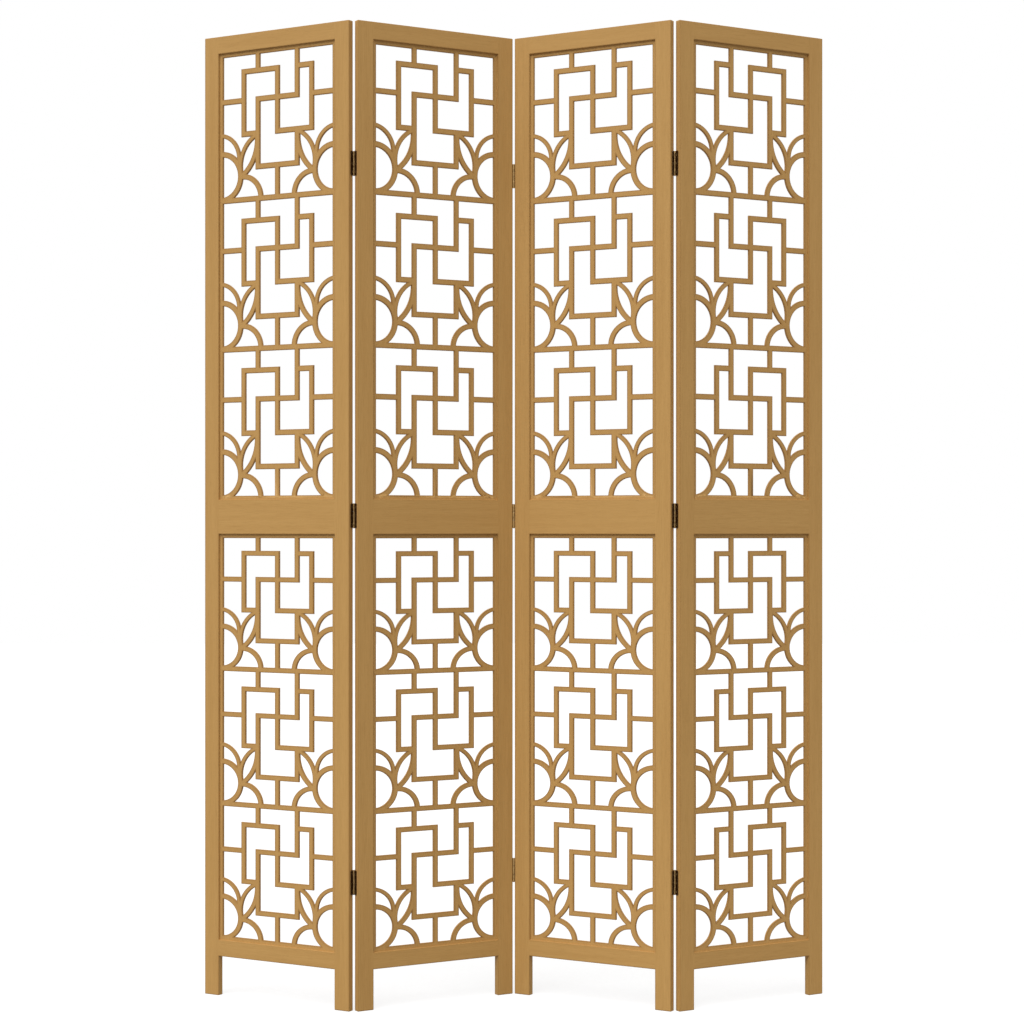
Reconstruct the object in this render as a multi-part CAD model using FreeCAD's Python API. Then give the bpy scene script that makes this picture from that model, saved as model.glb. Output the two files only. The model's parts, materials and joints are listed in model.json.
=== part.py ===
"""A free-standing room divider of four fretwork panels, folded in a zigzag.

Each panel is a slim frame of two full-height stiles, whose lower ends are the
feet, and three rails tenoned between them. A groove round each opening holds a
thin board of fretwork. Three butt hinges join each pair of panels on the inner
side of their fold, so the screen opens flat and closes like an accordion.

Lengths are in millimetres and angles in degrees. The screen stands on the
plane z = 0, +Z is up, and the viewer looks along +Y. The origin is the middle
of the ground it covers. A panel is drawn with its lower left front corner at
zero, its width along x and its thickness along y, and is then set in its place.
"""
import FreeCAD, Part
import math
import os

from FreeCAD import Placement, Rotation, Vector

# The panels and their fold
panel_count = 4
panel_height = 2000.0
panel_width = 365.0
frame_thickness = 14.0
fold_turn = 30.8             # each panel's turn out of the plane of the open screen

# The members of a panel's frame
stile_width = 36.0
top_rail_height = 36.3
middle_rail_height = 72.0
bottom_rail_height = 34.1
foot_height = 82.0           # from the floor up to the bottom rail
middle_rail_bottom = 962.2
edge_chamfer = 0.6

# The joints of the frame
tenon_length = 15.0
tenon_thickness = 5.0
tenon_shoulder = 10.0        # above and below each tenon
joint_clearance = 0.1
groove_depth = 8.0
groove_clearance = 0.1       # on each face of the board that the groove holds
groove_end_clearance = 0.5   # between the board's edge and the bottom of the groove

# The fretwork boards
board_thickness = 5.0
board_border = 8.0           # the plain strip that shows all round inside the frame
post_width = 11.0
repeats = 3                  # the drawing, one above the other, on each board
cross_bar_share = 0.0375     # of the pitch
# what the border hides at the top of the drawing, as a share of the pitch
border_overlap_shares = {"lower": 0.0152, "upper": 0.018}
post_shares = {"inner": 0.358, "outer": 0.62}  # of the half width, from the centre line
bar_shares = {"low": 0.194, "feet": 0.418, "middle": 0.644, "top": 0.836}  # of the pitch
round_pitch_share = 2.236    # pitch over half width, where the curves are circles
curve_step = 26.0            # the most that one of the short flats of a curve turns

# The curved bands on the left of the drawing. The centre's x and both radii are shares of the
# half width, the centre's height is a share of the pitch, and the last two are degrees.
band_shares = {
    "half_round": (-1.025, 0.140, 0.303, 0.390, -88.0, 90.0),
    "quarter_round": (-0.637, -0.014, 0.291, 0.373, 0.0, 97.0),
    "leaf_inner_side": (-1.009, 0.376, 0.600, 0.680, -57.0, 5.0),
    "leaf_outer_side": (-0.187, 0.205, 0.458, 0.525, 114.0, 192.0),
    "petal": (-1.075, 0.258, 0.335, 0.400, -12.0, 90.0),
}

# The butt hinges
hinge_length = 50.0
leaf_width = 11.0            # from the pin's axis
leaf_thickness = 1.0
leaf_gap = 0.1               # from a leaf to the plane halfway between the panels
knuckle_radius = 2.0
knuckle_sides = 12           # flats that stand for the round of a knuckle
middle_knuckle_length = 18.0
knuckle_gap = 0.3
pin_radius = 1.0
pin_sides = 8                # flats that stand for the round of a pin
pin_clearance = 0.05
pin_end = 0.6                # what stands out at each end of the barrel
pin_from_side_face = 1.7
hinge_from_top = 288.0       # panel's top to the top hinge's middle
hinge_from_floor = 259.0     # floor to the bottom hinge's middle

overrun = 5.0                # what a cutting shape passes beyond the surface it cuts

# Worked out from the sizes above
inner_right = panel_width - stile_width
top_rail_bottom = panel_height - top_rail_height
middle_rail_top = middle_rail_bottom + middle_rail_height
bottom_rail_top = foot_height + bottom_rail_height
openings = {
    "lower": (bottom_rail_top, middle_rail_bottom),
    "upper": (middle_rail_top, top_rail_bottom),
}
rails = {
    "top_rail": (top_rail_bottom, panel_height),
    "middle_rail": (middle_rail_bottom, middle_rail_top),
    "bottom_rail": (foot_height, bottom_rail_top),
}
board_lap = groove_depth - groove_end_clearance
board_recess = (frame_thickness - board_thickness) / 2
tenon_recess = (frame_thickness - tenon_thickness) / 2
pin_from_edge_face = leaf_thickness + leaf_gap
hinge_heights = {
    "top": panel_height - hinge_from_top,
    "middle": panel_height / 2,
    "bottom": hinge_from_floor,
}


def block(x_range, y_range, z_range):
    """A box between two values on each axis."""
    low = Vector(x_range[0], y_range[0], z_range[0])
    size = [end - start for start, end in (x_range, y_range, z_range)]
    return Part.makeBox(*size, low)


def strip(x_range, z_range):
    """A flat rectangle in the plane of the panel."""
    corners = [
        Vector(x_range[0], 0, z_range[0]),
        Vector(x_range[1], 0, z_range[0]),
        Vector(x_range[1], 0, z_range[1]),
        Vector(x_range[0], 0, z_range[1]),
    ]
    return Part.Face(Part.makePolygon(corners + corners[:1]))


def grown(value_range, amount):
    """A range with both its ends moved outwards."""
    return value_range[0] - amount, value_range[1] + amount


# The frame

def frame_blank():
    """The whole frame in one piece, with every front and back arris chamfered."""
    slab = block((0, panel_width), (0, frame_thickness), (0, panel_height))
    through = grown((0, frame_thickness), overrun)
    gaps = [(-overrun, foot_height), *openings.values()]
    slab = slab.cut([block((stile_width, inner_right), through, gap) for gap in gaps])
    arrises = [edge for edge in slab.Edges if edge.BoundBox.YLength < edge_chamfer]
    return slab.makeChamfer(edge_chamfer, arrises)


def board_groove(z_range):
    """The groove round an opening, as the slab that it would hold if it were full."""
    return block(
        grown((stile_width, inner_right), groove_depth),
        grown((board_recess, board_recess + board_thickness), groove_clearance),
        grown(z_range, groove_depth),
    )


def tenon(x_range, z_range, clearance=0.0):
    """A tenon, or with a clearance its mortise."""
    return block(
        grown(x_range, clearance),
        grown((tenon_recess, tenon_recess + tenon_thickness), clearance),
        grown((z_range[0] + tenon_shoulder, z_range[1] - tenon_shoulder), clearance),
    )


def left_stile(blank, grooves):
    """The left stile, with its foot, its grooves and a mortise for each rail."""
    stile = blank.common(block((0, stile_width), (0, frame_thickness), (0, panel_height)))
    mortise_x = (stile_width - tenon_length, stile_width + overrun)
    mortises = [tenon(mortise_x, z_range, joint_clearance) for z_range in rails.values()]
    return stile.cut(grooves + mortises)


def rail(blank, grooves, z_range):
    """A rail, grooved for its boards, with a tenon at each end."""
    between = block((stile_width, inner_right), (0, frame_thickness), z_range)
    body = blank.common(between).cut(grooves)
    ends = (
        (stile_width - tenon_length, stile_width),
        (inner_right, inner_right + tenon_length),
    )
    return body.fuse([tenon(x_range, z_range) for x_range in ends]).removeSplitter()


# The fretwork

class Drawing:
    """The fretwork drawing, scaled to one opening of the frame.

    It is drawn with x from the board's centre line and z from the top of its lower border.
    """

    def __init__(self, z_range, border_overlap_share):
        self.low, self.high = z_range[0] + board_border, z_range[1] - board_border
        self.half_width = (inner_right - stile_width) / 2 - board_border
        hidden = cross_bar_share + border_overlap_share
        self.pitch = (self.high - self.low) / (repeats - hidden)
        self.cross_bar = cross_bar_share * self.pitch
        self.rise = self.pitch / (round_pitch_share * self.half_width)
        self.reach = self.half_width + board_border + board_lap

    def post(self, x, low, high):
        """An upright bar, up to the middle of the bars that it meets."""
        half = post_width / 2
        return strip((x - half, x + half), (low, high))

    def bar(self, x_left, x_right, height):
        """A level bar that takes in the whole width of the posts at its ends."""
        ends = grown((x_left, x_right), post_width / 2)
        return strip(ends, grown((height, height), self.cross_bar / 2))

    def lattice(self, floor):
        """The straight bars of one repeat, above the height of its floor."""
        inner, outer = (post_shares[name] * self.half_width for name in ("inner", "outer"))
        low, feet, middle, top = (
            floor + bar_shares[name] * self.pitch for name in ("low", "feet", "middle", "top")
        )
        ceiling = floor + self.pitch
        side = self.half_width
        return [
            self.post(-inner, top, ceiling),
            self.post(inner, middle, ceiling),
            self.post(-inner, low, middle),
            self.post(inner, low, feet),
            self.post(-outer, feet, top),
            self.post(0, feet, top),
            self.post(outer, feet, top),
            self.post(0, floor - self.cross_bar / 2, low),
            self.bar(-outer, 0, top),
            self.bar(inner, outer, top),
            self.bar(-side, -outer, middle),
            self.bar(-inner, inner, middle),
            self.bar(outer, side, middle),
            self.bar(-outer, -inner, feet),
            self.bar(0, outer, feet),
            self.bar(-inner, inner, low),
            self.bar(-side, side, floor - self.cross_bar / 2),
        ]

    def band(self, floor, shares, side):
        """A curved band of short flats, on the left with side 1 and on the right with -1."""
        centre_share, height_share, inner_share, outer_share, start, stop = shares
        steps = math.ceil((stop - start) / curve_step)
        turns = [math.radians(start + (stop - start) * n / steps) for n in range(steps + 1)]

        def arc(radius_share):
            return [
                Vector(
                    side * self.half_width * (centre_share + radius_share * math.cos(turn)),
                    0,
                    floor + height_share * self.pitch
                    + self.half_width * self.rise * radius_share * math.sin(turn),
                )
                for turn in turns
            ]

        outline = arc(inner_share) + arc(outer_share)[::-1]
        return Part.Face(Part.makePolygon(outline + outline[:1]))

    def border(self):
        """The plain border, with the part that the frame hides."""
        hidden = board_border + board_lap
        height = self.high - self.low
        outer_z = grown((0, height), hidden)
        outside, inside = (-self.reach, self.reach), (-self.half_width, self.half_width)
        return [
            strip((outside[0], inside[0]), outer_z),
            strip((inside[1], outside[1]), outer_z),
            strip(inside, (outer_z[0], 0)),
            strip(inside, (height, outer_z[1])),
        ]

    def board(self):
        """The board, cut out of one sheet and set in its opening."""
        pieces = []
        for repeat in range(repeats):
            floor = repeat * self.pitch
            pieces += self.lattice(floor)
            for shares in band_shares.values():
                pieces += [self.band(floor, shares, side) for side in (1, -1)]
        rim = self.border()
        sheet = rim[0].fuse(rim[1:] + pieces)
        blank_z = grown((0, self.high - self.low), board_border + board_lap)
        sheet = sheet.common(strip((-self.reach, self.reach), blank_z)).removeSplitter()
        board = sheet.Faces[0].extrude(Vector(0, board_thickness, 0))
        board.translate(Vector(panel_width / 2, board_recess, self.low))
        return board


# The hinges, drawn round a pin on the z axis with the panel on the -x side and its edge face
# running towards -y

def rod(radius, sides, z_range):
    """A rod on the pin's axis, with flat sides that keep within its radius."""
    turns = [math.tau * n / sides for n in range(sides)]
    outline = [
        Vector(radius * math.cos(turn), radius * math.sin(turn), z_range[0]) for turn in turns
    ]
    end = Part.Face(Part.makePolygon(outline + outline[:1]))
    return end.extrude(Vector(0, 0, z_range[1] - z_range[0]))


def leaf(own_knuckles, other_knuckles):
    """A hinge leaf, cut back where the other leaf's knuckles turn."""
    face = -pin_from_edge_face
    half = hinge_length / 2
    plate = block((face, face + leaf_thickness), (-leaf_width, 0), (-half, half))
    room = knuckle_radius + knuckle_gap
    notches = [
        block((face - overrun, overrun), (-room, overrun), grown(z_range, knuckle_gap))
        for z_range in other_knuckles
    ]
    knuckles = [rod(knuckle_radius, knuckle_sides, z_range) for z_range in own_knuckles]
    # the flats of the bore stay clear of the pin at every turn
    bore_radius = (pin_radius + pin_clearance) / math.cos(math.pi / pin_sides)
    bore = rod(bore_radius, pin_sides, grown((-half, half), overrun))
    return plate.cut(notches).fuse(knuckles).cut(bore).removeSplitter()


def hinge_parts():
    """The left panel's leaf, the right panel's leaf and the pin."""
    half = hinge_length / 2
    middle = (-middle_knuckle_length / 2, middle_knuckle_length / 2)
    ends = [(-half, middle[0] - knuckle_gap), (middle[1] + knuckle_gap, half)]
    right_leaf = leaf([middle], ends)
    right_leaf.rotate(Vector(0, 0, 0), Vector(0, 1, 0), 180)
    pin = rod(pin_radius, pin_sides, grown((-half, half), pin_end))
    return {"left_leaf": leaf(ends, [middle]), "right_leaf": right_leaf, "pin": pin}


# The places of the panels

def panel_turn(panel):
    """The turn of a panel about the vertical, the first one coming forward to the right."""
    return -fold_turn if panel % 2 == 0 else fold_turn


def on_back(fold):
    """Whether the inner side of a fold, where its hinges sit, is the back."""
    return fold % 2 == 0


def fold_pin(fold, x):
    """The pin of a fold in the frame of a panel beside it."""
    y = frame_thickness + pin_from_side_face if on_back(fold) else -pin_from_side_face
    return Vector(x, y, 0)


def panel_places():
    """Each panel's placement, centred on the ground that the screen covers."""
    turns = [Rotation(Vector(0, 0, 1), panel_turn(panel)) for panel in range(panel_count)]
    corners = [Vector(0, 0, 0)]
    for fold in range(panel_count - 1):
        right_end = fold_pin(fold, panel_width + pin_from_edge_face)
        left_end = fold_pin(fold, -pin_from_edge_face)
        pin = corners[fold] + turns[fold].multVec(right_end)
        corners.append(pin - turns[fold + 1].multVec(left_end))
    ground = FreeCAD.BoundBox()
    for corner, turn in zip(corners, turns):
        for x in (0, panel_width):
            for y in (0, frame_thickness):
                ground.add(corner + turn.multVec(Vector(x, y, 0)))
    centre = Vector(ground.Center.x, ground.Center.y, 0)
    return [Placement(corner - centre, turn) for corner, turn in zip(corners, turns)]


def placed(shape, *placements):
    """A copy of a shape, moved by each placement in turn."""
    copy = shape.copy()
    for placement in placements:
        copy.transformShape(placement.toMatrix(), True)
    return copy


def panel_parts():
    """The seven wooden pieces of one panel, in the panel's own frame."""
    blank = frame_blank()
    grooves = [board_groove(z_range) for z_range in openings.values()]
    middle = Vector(panel_width / 2, frame_thickness / 2, 0)
    stile = left_stile(blank, grooves)
    end_for_end = Placement(Vector(0, 0, 0), Rotation(Vector(0, 0, 1), 180), middle)
    parts = {"left_stile": stile, "right_stile": placed(stile, end_for_end)}
    for name, z_range in rails.items():
        parts[name] = rail(blank, grooves, z_range)
    for name, z_range in openings.items():
        parts[name + "_fretwork"] = Drawing(z_range, border_overlap_shares[name]).board()
    return parts, end_for_end


def write(name, shape):
    """Save one named piece, which has to be one sound solid."""
    if not (shape.isValid() and len(shape.Solids) == 1):
        raise ValueError(f"{name} is not one sound solid")
    shape.Solids[0].exportStep(os.path.join("parts", name + ".step"))


def main():
    os.makedirs("parts", exist_ok=True)
    places = panel_places()
    parts, end_for_end = panel_parts()
    for panel, place in enumerate(places):
        for name, shape in parts.items():
            # the last panel's boards are turned back to front, so their drawing is mirrored
            turned = name.endswith("fretwork") and panel == panel_count - 1
            steps = (end_for_end, place) if turned else (place,)
            write(f"panel_{panel + 1}_{name}", placed(shape, *steps))
    hinge = hinge_parts()
    for fold in range(panel_count - 1):
        roll = Rotation(Vector(1, 0, 0), 0 if on_back(fold) else 180)
        for level, height in hinge_heights.items():
            for name, shape in hinge.items():
                right = name == "right_leaf"
                panel = fold + 1 if right else fold
                x = -pin_from_edge_face if right else panel_width + pin_from_edge_face
                seat = Placement(fold_pin(fold, x) + Vector(0, 0, height), roll)
                piece = placed(shape, seat, places[panel])
                write(f"fold_{fold + 1}_{level}_hinge_{name}", piece)
        pin = places[fold].multVec(fold_pin(fold, panel_width + pin_from_edge_face))
        print(f"fold {fold + 1} pin axis x {pin.x:.4f} y {pin.y:.4f}")
    for panel, place in enumerate(places):
        foot = place.multVec(Vector(stile_width / 2, frame_thickness / 2, 0))
        print(f"panel {panel + 1} left foot x {foot.x:.4f} y {foot.y:.4f}")


main()
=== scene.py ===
"""Looks for a folding screen of four fretwork panels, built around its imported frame.

The stiles, the rails, the fretwork boards and the hinges are modelled here, finer than in
the frame, and stand for its solids. The screws are only here.

Lengths are in metres, in the frame's own axes: +Z is up and the viewer looks along +Y. A
panel is drawn with its lower left front corner at zero, its width along x and its thickness
along y, and is then set in its place.
"""

import json
import math

import bmesh
import bpy
from bpy.props import FloatProperty, FloatVectorProperty, IntProperty, PointerProperty
from mathutils import Matrix, Vector
from mathutils.bvhtree import BVHTree

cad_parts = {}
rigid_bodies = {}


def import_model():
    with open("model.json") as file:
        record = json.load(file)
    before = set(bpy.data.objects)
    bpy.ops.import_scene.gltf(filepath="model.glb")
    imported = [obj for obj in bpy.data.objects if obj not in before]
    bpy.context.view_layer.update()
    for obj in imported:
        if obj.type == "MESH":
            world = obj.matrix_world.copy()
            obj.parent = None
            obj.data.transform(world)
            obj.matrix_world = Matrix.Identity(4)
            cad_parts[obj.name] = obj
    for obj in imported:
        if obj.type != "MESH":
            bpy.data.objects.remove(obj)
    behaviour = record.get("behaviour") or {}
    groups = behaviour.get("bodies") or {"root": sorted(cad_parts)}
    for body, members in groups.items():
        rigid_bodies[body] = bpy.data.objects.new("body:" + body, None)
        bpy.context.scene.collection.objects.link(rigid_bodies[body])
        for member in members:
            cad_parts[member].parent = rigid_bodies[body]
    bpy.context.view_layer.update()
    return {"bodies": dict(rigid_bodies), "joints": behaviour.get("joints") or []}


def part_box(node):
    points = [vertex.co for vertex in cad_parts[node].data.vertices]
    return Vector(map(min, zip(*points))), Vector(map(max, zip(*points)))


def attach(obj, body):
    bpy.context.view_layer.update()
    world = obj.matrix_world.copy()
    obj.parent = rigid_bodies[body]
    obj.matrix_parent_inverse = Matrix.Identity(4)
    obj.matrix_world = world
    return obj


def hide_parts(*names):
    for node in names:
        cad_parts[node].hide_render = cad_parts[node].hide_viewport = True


bl_info = {
    "name": "Fretwork Room Divider",
    "version": (1, 0, 0),
    "blender": (4, 5, 0),
    "location": "3D View > Sidebar > Divider",
    "description": "Models and finishes a folding screen of four fretwork panels",
    "category": "Object",
}

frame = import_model()

panel_count = len(frame["bodies"])
levels = ("upper", "lower")
rails = ("bottom_rail", "middle_rail", "top_rail")
hinge_levels = ("top", "middle", "bottom")
repeats = 3
axis_tolerance = 0.05        # how far a normal may lean and still count as along an axis
same_place = 1e-6            # points that are closer than this are one
eased_segments = 2           # flats of an eased edge

# The fretwork drawing. Shares along x are of the half width and shares along z of the pitch,
# as in the frame's source. A band has its centre, its two radii, and its start and its end in
# degrees.
post_shares = {"inner": 0.358, "outer": 0.62}
bar_shares = {"low": 0.194, "feet": 0.418, "middle": 0.644, "top": 0.836}
hidden_shares = {"lower": 0.0527, "upper": 0.0555}    # of the pitch, above the third repeat
cross_bar_share = 0.0375
band_shares = (
    (-1.025, 0.140, 0.303, 0.390, -88.0, 90.0),
    (-0.637, -0.014, 0.291, 0.373, 0.0, 97.0),
    (-1.009, 0.376, 0.600, 0.680, -57.0, 5.0),
    (-0.187, 0.205, 0.458, 0.525, 114.0, 192.0),
    (-1.075, 0.258, 0.335, 0.400, -12.0, 90.0),
)

# A screw. The neck, shank, point and sink are radii, as shares of the head's radius, and the
# other two are depths, as shares of the leaf's thickness.
screw_shares = {
    "neck": 0.5, "shank": 0.46, "point": 0.04, "sink": 1.12, "sunk": 0.06, "head": 0.9,
}

# Levels of a noise between which a mask made from it goes from none to full
middle_levels = (0.3, 0.7)
figure_levels = (0.35, 0.68)
fibre_levels = (0.45, 0.75)
pore_levels = (0.62, 0.72)
# levels over which the painted edge shade grows stronger and weaker along the grain
edge_shade_levels = (0.2, 0.8)
cloud_levels = (0.4, 0.75)
rubbed_and_highlit_levels = (0.05, 0.62)

edge_shade_strengths = (0.8, 1.2)         # what the painted edge shade is multiplied by, from place to place
roughness_steps = (-0.06, 0.08)      # how far the wood's roughness strays
bronze_roughness = (0.34, 0.52)
floor_greys = (0.22, 0.26)
floor_size = 30
sun_from = (-0.25, -0.49, 0.84)
sun_colour = (0.985, 1.0, 1.03)      # slightly cool
sun_distance = 4
sensor_width = 36                    # millimetres
white = (1.0, 1.0, 1.0, 1.0)


# Settings

def length(name, description, default):
    """A setting that is a length."""
    return FloatProperty(
        name=name, description=description, default=default, min=0.0, precision=5,
        subtype="DISTANCE", unit="LENGTH",
    )


def share(name, description, default):
    """A setting between nothing and all."""
    return FloatProperty(
        name=name, description=description, default=default, min=0.0, max=1.0,
        subtype="FACTOR",
    )


def angle(name, description, degrees):
    """A setting that is an angle."""
    return FloatProperty(
        name=name, description=description, default=math.radians(degrees), subtype="ANGLE",
        unit="ROTATION",
    )


def colour(name, description, default):
    """A colour setting."""
    return FloatVectorProperty(
        name=name, description=description, default=default, size=3, min=0.0, max=1.0,
        subtype="COLOR",
    )


class DividerPanelSizes(bpy.types.PropertyGroup):
    """Sizes of the panels and of their fretwork"""

    fold_turn: angle("Fold turn", "Turn of each panel out of the plane of the open screen", 30.8)
    width: length("Width", "Width of a panel", 0.365)
    height: length("Height", "Height of a panel", 2.0)
    thickness: length("Thickness", "Thickness of a panel's frame", 0.014)
    stile: length("Stile", "Width of a stile", 0.036)
    arris: length("Arris", "Radius of the rounded edges of the frame", 0.0013)
    # The next setting is the width of the painted edge shade: a darker band along the frame's
    # edges that stands for the shade of its rounded arrises and corners.
    edge_shade_band: length("Edge band", "How far the darker stain runs in from an edge", 0.0026)
    groove: length("Groove", "Depth of the groove that holds a board", 0.008)
    groove_gap: length("Groove gap", "Gap on each face of a board in its groove", 0.0001)
    tenon: length("Tenon", "Length of a tenon", 0.015)
    tenon_thickness: length("Tenon thickness", "Thickness of a tenon", 0.005)
    shoulder: length("Shoulder", "Shoulder above and below a tenon", 0.01)
    joint_gap: length("Joint gap", "Gap round a tenon in its mortise", 0.0001)
    half_width: length("Half width", "Half the width of the open part of a board", 0.1385)
    border: length("Border", "Strip round the open part, with what the frame hides", 0.0155)
    board: length("Board", "Thickness of a fretwork board", 0.005)
    post: length("Post", "Width of the upright bars of the fretwork", 0.011)
    eased: length("Eased edge", "Width of the eased edges of the fretwork", 0.0009)
    # The next setting is the width of the painted edge shade on the boards, which darkens their
    # eased edges as shade.
    board_shade_band: length("Board band", "How far the stain runs in from an eased edge", 0.0018)
    curve_step: angle("Curve step", "Turn of one flat of a curved band", 4.0)


class DividerHingeSizes(bpy.types.PropertyGroup):
    """Sizes of the butt hinges"""

    length: length("Length", "Length of a hinge", 0.05)
    leaf_width: length("Leaf width", "From the pin's axis to the edge of a leaf", 0.011)
    leaf: length("Leaf", "Thickness of a leaf", 0.001)
    gap: length("Gap", "From a leaf to the plane halfway between the panels", 0.0001)
    knuckle: length("Knuckle", "Radius of the knuckles", 0.002)
    middle_knuckle: length("Middle knuckle", "Length of the middle knuckle", 0.018)
    knuckle_gap: length("Knuckle gap", "Gap between two knuckles", 0.0003)
    pin: length("Pin", "Radius of the pin", 0.001)
    bore: length("Bore", "Radius of the hole for the pin", 0.00105)
    pin_end: length("Pin end", "What the pin stands out at each end", 0.0006)
    pin_offset: length("Pin offset", "From the face of the panel to the pin's axis", 0.0017)
    pin_round: length("Pin round", "Radius of the rounded ends of the pin", 0.00048)
    knuckle_round: length("Knuckle round", "Radius of the eased ends of a knuckle", 0.0003)
    leaf_round: length("Leaf round", "Radius of the eased edges of a leaf and a screw", 0.00012)
    corner: length("Corner", "Radius of the corners of a leaf", 0.0018)
    screw_head: length("Screw head", "Radius of a screw's head", 0.0021)
    screw_length: length("Screw length", "Length of a screw below its head", 0.01)
    slot_reach: length("Slot reach", "From a screw's axis to the end of its cross slot", 0.0013)
    slot_side: length("Slot side", "From the middle of a slot to its side", 0.00022)
    slot_depth: length("Slot depth", "Depth of a screw's cross slot", 0.0005)
    screw_pitch: length("Screw pitch", "From one screw of a leaf to the next", 0.0175)
    sides: IntProperty(
        name="Sides", description="Flats round a knuckle, a pin or a screw", default=32, min=12,
    )


class DividerFinish(bpy.types.PropertyGroup):
    """Colours and wear of the wood and the metal, with painted shade on the wood's edges and a
    painted highlight on the hinges' knuckles and pins
    """

    wood: colour("Wood", "Main colour of the stained wood", (0.475, 0.264, 0.077))
    wood_light: colour("Light wood", "Paler streaks of the wood", (0.550, 0.322, 0.103))
    wood_dark: colour("Dark wood", "Fibres and pores of the wood", (0.345, 0.180, 0.047))
    tone: share("Tone", "Strength of the slow changes of tone", 0.25)
    figure: share("Figure", "Strength of the broad streaks", 0.35)
    fibre: share("Fibre", "Strength of the fine fibres", 0.30)
    pores: share("Pores", "Strength of the dark pores", 0.45)
    grain_depth: length("Grain depth", "Height of the wood's relief", 0.0002)
    # Painted shade: the next colour, at the three strengths after it, darkens the wood along the
    # edges of the frames and the boards and round the openings, standing for the shade of their
    # rounded arrises and corners; on the boards' sawn sides it is partly darker cut wood and
    # partly painted shade.
    painted_edge_shade: colour("Edge stain", "Stain where it gathers on edges", (0.235, 0.100, 0.015))
    cut_shade: share("Cut sides", "Strength of the edge stain on the sawn sides", 0.18)
    board_shade: share("Board edges", "Strength of the edge stain on the eased edges", 0.62)
    frame_shade: share("Frame edges", "Strength of the edge stain on the rounded edges", 0.32)
    wood_roughness: share("Wood roughness", "Roughness of the matt stain", 0.62)
    bronze: colour("Bronze", "Dark plating of the hinges", (0.062, 0.019, 0.002))
    # Pale bronze: rubbed plating, and on the knuckles and the pin a painted highlight.
    pale_bronze_and_highlight: colour("Worn bronze", "Plating where the hinges rub", (0.430, 0.290, 0.125))
    clouds: share("Clouds", "Strength of the paler clouds in the plating", 0.12)
    # The two amounts below set the rubbed edges and the painted highlight on the knuckles and the
    # pin.
    leaf_wear_and_highlight: share("Leaf wear", "How far a leaf's edges and knuckles are rubbed", 0.90)
    pin_wear_and_highlight: share("Pin wear", "How far a pin and the edges of a screw are rubbed", 0.95)


class DividerStage(bpy.types.PropertyGroup):
    """Camera, floor and light"""

    eye: FloatVectorProperty(
        name="Eye", description="Place of the camera, which looks along the y axis",
        default=(-0.0362, -4.8865, 0.977), size=3, subtype="TRANSLATION", unit="LENGTH",
    )
    lens: FloatProperty(
        name="Lens", description="Focal length for a sensor 36 mm wide",
        default=83.49, subtype="DISTANCE_CAMERA", unit="CAMERA",
    )
    shift: FloatVectorProperty(
        name="Shift", description="Shift of the picture, as a share of its width",
        default=(0.0152, 0.0148), size=2, subtype="XYZ",
    )
    floor_glow: share("Floor glow", "How bright the floor is seen to be without light", 0.8)
    sky: FloatProperty(
        name="Sky", description="Light from all round", default=0.533, min=0.0,
    )
    sky_colour: colour("Sky colour", "Colour of the light from all round", (1.0, 0.97, 0.94))
    sun: FloatProperty(
        name="Sun", description="Strength of the soft light from the front left",
        default=3.02, min=0.0,
    )
    sun_spread: angle("Sun spread", "How wide the sun is, which softens its shadows", 55.0)


# Modelling helpers

def pick(*items):
    """Select these objects and no others, with the first one active."""
    bpy.ops.object.select_all(action="DESELECT")
    for item in items:
        item.select_set(True)
    bpy.context.view_layer.objects.active = items[0]


def settle(item):
    """Write the object's place, turn and size into its mesh."""
    pick(item)
    bpy.ops.object.transform_apply(location=True, rotation=True, scale=True)
    return item


def block(low, high):
    """A box between two corners."""
    low, high = Vector(low), Vector(high)
    bpy.ops.mesh.primitive_cube_add(size=1, location=(low + high) / 2, scale=high - low)
    return settle(bpy.context.object)


def cylinder(radius, z_range):
    """A round bar on the z axis."""
    low, high = z_range
    bpy.ops.mesh.primitive_cylinder_add(
        vertices=bpy.context.scene.divider_hinge.sides, radius=radius, depth=high - low,
        location=(0, 0, (low + high) / 2),
    )
    return settle(bpy.context.object)


def cone(radii, x_range, place=(0, 0, 0)):
    """A cone along the x axis, drawn at zero and then moved to a place."""
    low, high = x_range
    bpy.ops.mesh.primitive_cone_add(
        vertices=bpy.context.scene.divider_hinge.sides, radius1=radii[0], radius2=radii[1],
        depth=high - low, location=Vector(place) + Vector(((low + high) / 2, 0, 0)),
        rotation=(0, math.pi / 2, 0),
    )
    return settle(bpy.context.object)


def joined(pieces):
    """Several objects as one."""
    pick(*pieces)
    bpy.ops.object.join()
    return bpy.context.object


def copied(item, matrix=Matrix.Identity(4), name=None):
    """A copy with its own mesh, set in a place."""
    pick(item)
    bpy.ops.object.duplicate()
    copy = bpy.context.object
    copy.matrix_world = matrix
    settle(copy)
    if name:
        copy.name = copy.data.name = name
    return copy


def modified(item, kind, **settings):
    """The object with a modifier applied."""
    pick(item)
    modifier = item.modifiers.new(kind.title(), kind)
    for name, value in settings.items():
        setattr(modifier, name, value)
    bpy.ops.object.modifier_apply(modifier=modifier.name)
    return item


def combined(item, tool, operation, use_self=False):
    """The union, difference or intersection of two solids. The tool is used up."""
    modified(
        item, "BOOLEAN", operation=operation, solver="EXACT", object=tool, use_self=use_self,
    )
    bpy.data.objects.remove(tool)
    if not item.data.polygons:
        raise RuntimeError(f"nothing is left of {item.name}")
    return item


def edit(item, mode="EDGE"):
    """Enter edit mode with nothing selected, and give the mesh to select in."""
    pick(item)
    bpy.ops.object.mode_set(mode="EDIT")
    bpy.ops.mesh.select_mode(type=mode)
    bpy.ops.mesh.select_all(action="DESELECT")
    mesh = bmesh.from_edit_mesh(item.data)
    mesh.normal_update()
    return mesh


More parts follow.
